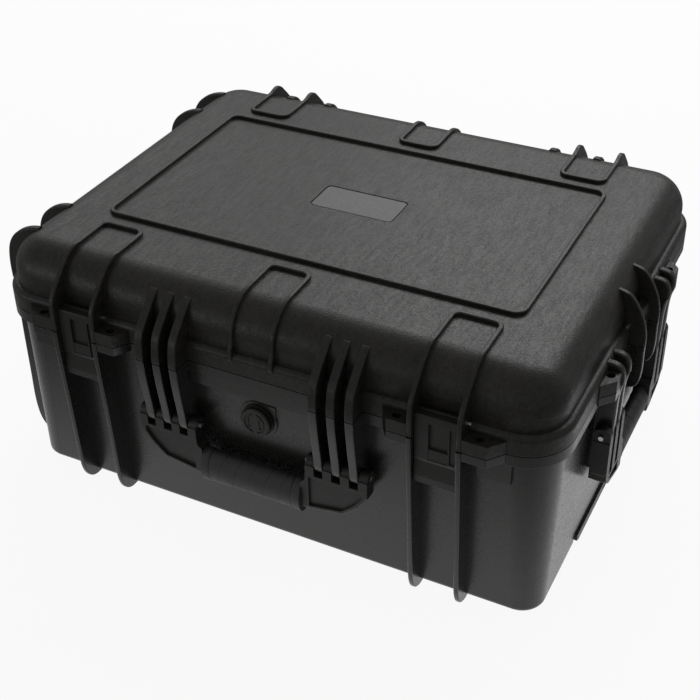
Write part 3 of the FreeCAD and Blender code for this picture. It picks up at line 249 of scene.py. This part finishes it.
def stage():
    """Floor, lights and a white surround."""
    bpy.ops.mesh.primitive_plane_add(size=FLOOR_SIZE, location=(0, 0, 0))
    floor = bpy.context.object
    floor.name = "floor"
    floor.data.materials.append(floor_material())
    world = bpy.data.worlds.new("world")
    bpy.context.scene.world = world
    world.use_nodes = True
    tree = world.node_tree
    rays = tree.nodes.new("ShaderNodeLightPath")
    strength = WORLD_LIGHT
    for ray, level in (("Is Glossy Ray", WORLD_MIRRORED), ("Is Camera Ray", 1.0)):
        mix = tree.nodes.new("ShaderNodeMix")
        mix.data_type = "FLOAT"
        tree.links.new(rays.outputs[ray], mix.inputs[0])
        if isinstance(strength, float):
            mix.inputs[2].default_value = strength
        else:
            tree.links.new(strength, mix.inputs[2])
        mix.inputs[3].default_value = level
        strength = mix.outputs[0]
    background = tree.nodes["Background"]
    background.inputs[0].default_value = (1, 1, 1, 1)
    tree.links.new(strength, background.inputs[1])
    for name, at, size, power in LAMPS:
        area_light(name, at, size, power)


# ---- shapes ---------------------------------------------------------------------------------------
def new_object(name, verts, faces, material, smooth_angle=None):
    """A mesh object from vertices in metres."""
    mesh = bpy.data.meshes.new(name)
    mesh.from_pydata([tuple(v) for v in verts], [], faces)
    mesh.validate()
    mesh.materials.append(material)
    obj = bpy.data.objects.new(name, mesh)
    bpy.context.collection.objects.link(obj)
    if smooth_angle is not None:
        mesh.shade_smooth()
        mesh.set_sharp_from_angle(angle=math.radians(smooth_angle))
    return obj


def lofted(name, rings, material, smooth_angle=40.0):
    """A closed skin through rings of equal length, with flat ends."""
    count = len(rings[0])
    verts = [point for points in rings for point in points]
    faces = [tuple(reversed(range(count))), tuple(range(len(verts) - count, len(verts)))]
    for r in range(len(rings) - 1):
        low, high = r * count, (r + 1) * count
        for i in range(count):
            j = (i + 1) % count
            faces.append((low + i, low + j, high + j, high + i))
    return new_object(name, verts, faces, material, smooth_angle)


def revolved(name, profile, centre, material, steps=96, smooth_angle=35.0):
    """A solid of revolution about an axis along Y; the profile is (y, radius) and closes on itself."""
    verts, faces, count = [], [], len(profile)
    for i in range(steps):
        a = 2 * math.pi * i / steps
        verts += [(centre.x + r * math.cos(a), centre.y + y, centre.z + r * math.sin(a))
                  for y, r in profile]
    for i in range(steps):
        here, after = i * count, (i + 1) % steps * count
        for k in range(count):
            m = (k + 1) % count
            faces.append((here + k, here + m, after + m, after + k))
    return new_object(name, verts, faces, material, smooth_angle)


def rounded_outline(x0, x1, y0, y1, radius, steps=6):
    """A rounded rectangle's corners in order, anticlockwise."""
    points = []
    for cx, cy, start in ((x1 - radius, y1 - radius, 0), (x0 + radius, y1 - radius, 90),
                          (x0 + radius, y0 + radius, 180), (x1 - radius, y0 + radius, 270)):
        for i in range(steps + 1):
            a = math.radians(start + 90.0 * i / steps)
            points.append((cx + radius * math.cos(a), cy + radius * math.sin(a)))
    return points


def rounded_corners(corners, radius, steps=5):
    """A polygon's corners rounded off, square ones only."""
    points, count = [], len(corners)
    for i, corner in enumerate(corners):
        here = Vector(corner)
        before = (Vector(corners[i - 1]) - here).normalized() * radius
        after = (Vector(corners[(i + 1) % count]) - here).normalized() * radius
        centre = here + before + after
        for k in range(steps + 1):
            share = math.radians(90.0 * k / steps)
            points.append(tuple(centre - after * math.cos(share) - before * math.sin(share)))
    return points


def pierced_slab(name, outline, holes, z0, z1, edge, material):
    """A slab with holes through it and rounded upper and lower rims."""
    curve = bpy.data.curves.new(name, "CURVE")
    curve.dimensions = "2D"
    curve.fill_mode = "BOTH"
    curve.extrude = (z1 - z0) / 2 - edge
    curve.bevel_depth = edge
    curve.bevel_resolution = 2
    curve.offset = -edge
    for points in [outline] + holes:
        spline = curve.splines.new("POLY")
        spline.points.add(len(points) - 1)
        for place, (x, y) in zip(spline.points, points):
            place.co = (x, y, 0.0, 1.0)
        spline.use_cyclic_u = True
    holder = bpy.data.objects.new(name + "_curve", curve)
    bpy.context.collection.objects.link(holder)
    holder.location.z = (z0 + z1) / 2
    bpy.context.view_layer.update()
    mesh = bpy.data.meshes.new_from_object(holder.evaluated_get(bpy.context.evaluated_depsgraph_get()))
    mesh.transform(holder.matrix_world)
    bpy.data.objects.remove(holder)
    mesh.name = name
    mesh.materials.clear()
    mesh.materials.append(material)
    mesh.shade_smooth()
    mesh.set_sharp_from_angle(angle=math.radians(40))
    obj = bpy.data.objects.new(name, mesh)
    bpy.context.collection.objects.link(obj)
    return obj


def rounded_slab(name, outline, z0, z1, edge, material):
    """A solid slab with its upper rim rounded."""
    return pierced_slab(name, outline, [], z0, z1, edge, material)


# ---- pieces ---------------------------------------------------------------------------------------
GRIP_SEAMS = (-0.62, -0.31, 0.0, 0.31, 0.62)    # places of a grip's seams, as shares of its half length
SEAM_DEEP, SEAM_WIDE, SEAM_SLANT = 0.045, 0.010, 0.09
COLLAR_FROM, COLLAR_STEEP = 0.86, 110.0         # where a collar begins along the grip, and how sharply
COLLAR_SEAM, COLLAR_SEAM_DEEP = 0.84, 0.05
WAIST_ENDS, WAIST_DIP = 0.965, 0.02
GRIP_RINGS, GRIP_POINTS = 150, 56


def grip(name, node, body, material, along_x):
    """A rubber grip with a collar at each end and slanted seams pressed into it."""
    low, high = (Vector(corner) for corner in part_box(node))
    centre, half = (low + high) / 2, (high - low) / 2
    length = half.x if along_x else half.y
    deep = half.y if along_x else half.x
    rings = []
    for i in range(GRIP_RINGS + 1):
        share = -1.0 + 2.0 * i / GRIP_RINGS
        collar = 1.0 / (1.0 + math.exp((COLLAR_FROM - abs(share)) * COLLAR_STEEP))
        waist = WAIST_ENDS - WAIST_DIP * math.cos(share * math.pi / 2)
        ring = []
        for k in range(GRIP_POINTS):
            a = 2 * math.pi * k / GRIP_POINTS
            size = waist + (1.0 - waist) * collar
            for seam in GRIP_SEAMS:
                away = (share - seam - SEAM_SLANT * math.sin(a)) / SEAM_WIDE
                size -= SEAM_DEEP * math.exp(-away * away)
            away = (abs(share) - COLLAR_SEAM) / SEAM_WIDE
            size -= COLLAR_SEAM_DEEP * math.exp(-away * away)
            out, up = deep * size * math.cos(a), half.z * size * math.sin(a)
            if along_x:
                ring.append((centre.x + share * length, centre.y + out, centre.z + up))
            else:
                ring.append((centre.x + out, centre.y - share * length, centre.z + up))
        rings.append(ring)
    obj = lofted(name, rings, material)
    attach(obj, body)
    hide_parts(node)


SHOULDER, SHOULDER_CUT = 0.004, 0.0012          # a tyre's rounded edge
GROOVES, GROOVE_HALF, GROOVE_FLOOR, GROOVE_DEEP = (-0.009, 0.0, 0.009), 0.0014, 0.0009, 0.0016


def tyre(side, material):
    """A tyre with three grooves round its tread."""
    node = "wheel_tyre_" + side
    low, high = (Vector(corner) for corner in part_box(node))
    centre, radius = (low + high) / 2, (high.x - low.x) / 2
    hub_low, hub_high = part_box("wheel_hub_" + side)
    half, inner = (high.y - low.y) / 2, (hub_high[0] - hub_low[0]) / 2
    shoulder = [(half, radius - SHOULDER), (half - SHOULDER_CUT, radius - SHOULDER_CUT),
                (half - SHOULDER, radius)]
    tread = [(-y, r) for y, r in shoulder]
    for groove in GROOVES:
        tread += [(groove - GROOVE_HALF, radius), (groove - GROOVE_FLOOR, radius - GROOVE_DEEP),
                  (groove + GROOVE_FLOOR, radius - GROOVE_DEEP), (groove + GROOVE_HALF, radius)]
    tread += shoulder[::-1]
    obj = revolved("tyre_" + side, tread + [(half, inner), (-half, inner)], centre, material)
    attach(obj, "wheel_" + side)
    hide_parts(node)


PLATE_TRIM, PLATE_CORNER, PLATE_EDGE = 0.0009, 0.0048, 0.00025


def name_plate(material):
    """The bare name plate, a little smaller than its recess so that a dark line runs round it."""
    low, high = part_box("name_plate")
    outline = rounded_outline(low[0] + PLATE_TRIM, high[0] - PLATE_TRIM, low[1] + PLATE_TRIM,
                              high[1] - PLATE_TRIM, PLATE_CORNER)
    obj = rounded_slab("plate", outline, low[2], high[2], PLATE_EDGE, material)
    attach(obj, "lid")
    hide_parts("name_plate")


FOAM_EDGE = 0.003       # rounding of a cut edge in the base's foam
BAY_CORNER, POCKET_CORNER, FOAM_CORNER = 0.014, 0.008, 0.030
FOAM_INSET = 0.004      # the dressed foam stands this far inside its solids
OPENING_ROOM = 0.002    # an opening's box stops this far inside its pocket
FLOOR_EDGE = 0.001      # rounding of a pocket floor's rim


def base_foam(material):
    """The base's foam: a cut block with the drone's bay and pockets, and the floors under them."""
    openings = {o["name"]: o["box_m"] for o in frame["record"]["physics"]["openings"]}

    def plan(name):
        """A pocket's x and y limits and its floor."""
        low, high = openings[name]
        return (low[0] - OPENING_ROOM, high[0] + OPENING_ROOM, low[1] - OPENING_ROOM,
                high[1] + OPENING_ROOM, low[2] - OPENING_ROOM)

    bx0, bx1, by0, by1, bottom = plan("drone_bay_body")
    lx0, lx1, ly0, ly1, arms = plan("drone_bay_left_arms")
    rx0, rx1 = plan("drone_bay_right_arms")[:2]
    bay = rounded_corners([(lx0, ly0), (lx1, ly0), (lx1, by0), (rx0, by0), (rx0, ly0), (rx1, ly0),
                           (rx1, ly1), (rx0, ly1), (rx0, by1), (lx1, by1), (lx1, ly1), (lx0, ly1)],
                          BAY_CORNER)
    holes, floors = [bay], [(lx0, bx0, ly0, ly1, arms), (bx0, lx1, by1, ly1, arms),
                            (bx0, lx1, ly0, by0, arms), (bx1, rx1, ly0, ly1, arms),
                            (rx0, bx1, by1, ly1, arms), (rx0, bx1, ly0, by0, arms)]
    for name in openings:
        if name.endswith("pocket") or name.startswith("battery"):
            x0, x1, y0, y1, floor = plan(name)
            holes.append(rounded_outline(x0, x1, y0, y1, POCKET_CORNER))
            floors.append((x0, x1, y0, y1, floor))
    low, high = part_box("foam_blocks")
    sheet_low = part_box("foam_sheet")[0]
    inset = FOAM_INSET
    outline = rounded_outline(low[0] + inset, high[0] - inset, low[1] + inset, high[1] - inset,
                              FOAM_CORNER)
    block = pierced_slab("foam_block", outline, holes, bottom, high[2], FOAM_EDGE, material)
    under = rounded_outline(sheet_low[0] + inset, high[0] - 2 * inset, low[1] + 2 * inset,
                            high[1] - 2 * inset, FOAM_CORNER)
    sheet = rounded_slab("foam_bottom", under, sheet_low[2], bottom, FLOOR_EDGE, material)
    pieces = [block, sheet]
    for i, (x0, x1, y0, y1, floor) in enumerate(floors):
        step = rounded_outline(x0 - FOAM_EDGE, x1 + FOAM_EDGE, y0 - FOAM_EDGE, y1 + FOAM_EDGE, 0.002, 2)
        pieces.append(rounded_slab("foam_step_%d" % i, step, bottom - FLOOR_EDGE, floor, FLOOR_EDGE,
                                   material))
    for piece in pieces:
        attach(piece, "base")
    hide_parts("foam_blocks")
    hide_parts("foam_sheet")


CRATE_PITCH, CRATE_DEEP, CRATE_CORNER = 0.040, 0.016, 0.036
CRATE_BACK = 0.012              # the flat back's thickness under the waves
CRATE_COLUMNS, CRATE_ROWS = 168, 128


def lid_foam(material):
    """The lid's egg-crate pad: rows of soft peaks over a flat back."""
    low, high = (Vector(corner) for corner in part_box("lid_foam"))
    half, corner, columns, rows = (high - low) / 2, CRATE_CORNER, CRATE_COLUMNS, CRATE_ROWS
    centre = (low + high) / 2
    back = low.z + CRATE_DEEP + CRATE_BACK
    verts, faces = [], []
    for layer in range(2):
        for j in range(rows + 1):
            for i in range(columns + 1):
                x, y = half.x * (2.0 * i / columns - 1.0), half.y * (2.0 * j / rows - 1.0)
                over = Vector((max(abs(x) - half.x + corner, 0.0), max(abs(y) - half.y + corner, 0.0)))
                if over.length > corner:
                    kept = over * (corner / over.length)
                    x -= math.copysign(over.x - kept.x, x)
                    y -= math.copysign(over.y - kept.y, y)
                wave = math.cos(2 * math.pi * x / CRATE_PITCH) * math.cos(2 * math.pi * y / CRATE_PITCH)
                rim = min((half.x - abs(x)), (half.y - abs(y))) / CRATE_PITCH
                relief = CRATE_DEEP * (0.5 - 0.5 * wave) * min(1.0, rim * 2.0)
                verts.append((centre.x + x, centre.y + y, back if layer else low.z + relief))
    stride, layer_size = columns + 1, (columns + 1) * (rows + 1)
    for j in range(rows):
        for i in range(columns):
            a = j * stride + i
            faces.append((a, a + stride, a + stride + 1, a + 1))
            b = a + layer_size
            faces.append((b, b + 1, b + stride + 1, b + stride))
    edge = list(range(columns)) + [columns + j * stride for j in range(rows)]
    edge += [rows * stride + columns - i for i in range(columns)] + [(rows - j) * stride for j in range(rows)]
    for a, b in zip(edge, edge[1:] + edge[:1]):
        faces.append((a, b, b + layer_size, a + layer_size))
    obj = new_object("egg_crate", verts, faces, material, 60.0)
    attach(obj, "lid")
    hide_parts("lid_foam")


def materials():
    """One material for each slot of the record."""
    return {
        # painted light: the lid's plastic gets a lighter tone than the shell's, standing in for the brighter
        # light on the lid's top
        "lid_plastic": moulded_plastic("lid_plastic", 0.017, rough=0.37, grain=0.0003, mottle=0.3,
                                       gloss=0.27, streaks=0.4),
        "shell_plastic": moulded_plastic("shell_plastic", 0.012, rough=0.29, grain=0.00005,
                                         mottle=0.12, gloss=0.5, streaks=0.15),
        "latch_plastic": moulded_plastic("latch_plastic", 0.014, rough=0.42, mottle=0.10, gloss=0.3),
        "handle_plastic": moulded_plastic("handle_plastic", 0.014, rough=0.42, mottle=0.10, gloss=0.3),
        "valve_plastic": moulded_plastic("valve_plastic", 0.016, rough=0.40, mottle=0.10, gloss=0.3),
        "button_plastic": moulded_plastic("button_plastic", 0.06, rough=0.45, mottle=0.08),
        "bearing_plastic": moulded_plastic("bearing_plastic", 0.35, rough=0.4, mottle=0.05),
        "wheel_hub": moulded_plastic("wheel_hub", 0.02, rough=0.45, mottle=0.10),
        "grip_rubber": rubber("grip_rubber", 0.016),
        "wheel_tyre": rubber("wheel_tyre", 0.020),
        "seal_rubber": rubber("seal_rubber", 0.020),
        "steel": metal("steel", 0.72),
        "aluminium": metal("aluminium", 0.55, 0.35),
        "name_plate": moulded_plastic("name_plate", 0.12, warm=0.0, rough=0.5, grain=0.00003, mottle=0.08),
        "base_foam": foam("base_foam", 0.03),
        "lid_foam": foam("lid_foam", 0.03),
    }


def dress_nodes(mats):
    """Gives each CAD node its slot's material."""
    for part in frame["record"]["subparts"]:
        mesh = NODES[part["node"]].data
        mesh.materials.clear()
        mesh.materials.append(mats[part["material_slot"]])


def main():
    """Builds the whole scene."""
    bpy.context.scene.view_settings.view_transform = "Standard"
    camera()
    stage()
    mats = materials()
    dress_nodes(mats)
    grip("front_grip", "front_handle_grip", "front_handle", mats["grip_rubber"], True)
    grip("side_grip", "side_handle_grip", "side_handle", mats["grip_rubber"], False)
    for side in ("front", "rear"):
        tyre(side, mats["wheel_tyre"])
    name_plate(mats["name_plate"])
    base_foam(mats["base_foam"])
    lid_foam(mats["lid_foam"])


main()
